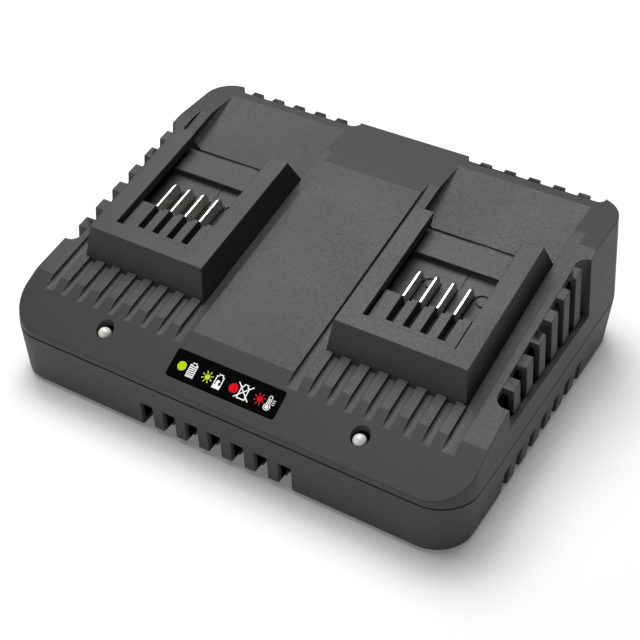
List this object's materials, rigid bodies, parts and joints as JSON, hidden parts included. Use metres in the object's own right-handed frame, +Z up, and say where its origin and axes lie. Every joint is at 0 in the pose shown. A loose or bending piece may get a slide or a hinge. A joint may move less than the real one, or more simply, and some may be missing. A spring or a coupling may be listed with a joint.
{
  "type": "power tool battery charger",
  "caption": "Bench charger for slide-in power tool batteries: wedge-shaped dark grey housing with raised docks, contact blades, cooling vents and a status indicator strip.",
  "frame": {"origin": "middle of the footprint, on the plane that the rubber feet stand on", "axes": "+X to the right seen from the front, +Y towards the rear edge, which is the high one, +Z up"},
  "size_m": [0.211, 0.1626, 0.0718],
  "materials": {
    "housing_plastic": "fine moulded texture, dark grey",
    "lower_plastic": "fine moulded texture, dark grey",
    "dock_plastic": "fine moulded texture, dark grey",
    "contact_metal": "nickel plated",
    "circuit_board": "green solder mask",
    "screw_steel": "zinc plated",
    "label_film": "black printed film",
    "led_plastic": "frosted white",
    "lead_grey": "plastic insulation",
    "natural_plastic": "natural",
    "ferrite": "sintered ferrite",
    "winding_tape": "yellow tape",
    "ferrite_green": "coated ferrite",
    "copper_wire": "enamelled copper",
    "capacitor_dark": "sleeved",
    "capacitor_blue": "sleeved",
    "capacitor_yellow": "moulded",
    "sink_aluminium": "extruded",
    "black_plastic": "moulded",
    "fuse_glass": "clear with metal ends",
    "green_plastic": "moulded",
    "lead_red": "plastic insulation",
    "gland_rubber": "moulded",
    "bearing_bronze": "sintered",
    "foot_rubber": "matt"
  },
  "bodies": {
    "charger": {"top_housing": "housing_plastic", "bottom_housing": "lower_plastic", "dock_frame_left": "dock_plastic", "dock_frame_right": "dock_plastic", "terminal_block_left": "dock_plastic", "terminal_block_right": "dock_plastic", "terminal_blades_left": "contact_metal", "terminal_blades_right": "contact_metal", "terminal_board_left": "circuit_board", "terminal_board_right": "circuit_board", "dock_screws": "screw_steel", "status_label": "label_film", "indicator_board": "circuit_board", "indicator_screws": "screw_steel", "indicator_leds": "led_plastic", "indicator_lead": "lead_grey", "bay_led_left": "led_plastic", "bay_led_right": "led_plastic", "led_spacers": "natural_plastic", "main_circuit_board": "circuit_board", "insulating_sheet": "natural_plastic", "transformer_core": "ferrite", "transformer_winding": "winding_tape", "choke_core": "ferrite_green", "choke_winding": "copper_wire", "bulk_capacitors": "capacitor_dark", "output_capacitors": "capacitor_blue", "suppression_capacitor": "capacitor_yellow", "heat_sinks": "sink_aluminium", "power_transistors": "black_plastic", "bridge_rectifier": "black_plastic", "mains_fuse": "fuse_glass", "mains_terminal": "green_plastic", "output_leads_left": "lead_red", "output_leads_right": "lead_red", "cord_gland": "gland_rubber", "fan_frame": "black_plastic", "fan_bearing": "bearing_bronze", "fan_lead": "lead_red", "housing_screws": "screw_steel", "board_screws": "screw_steel", "rubber_feet": "foot_rubber"},
    "impeller": {"fan_impeller": "black_plastic"}
  },
  "joints": [
    {"name": "fan_spin", "type": "hinge", "parent": "charger", "child": "impeller", "pos_m": [-0.0938, 0.0077, 0.0238], "axis": [1, 0, 0], "continuous": true}
  ]
}
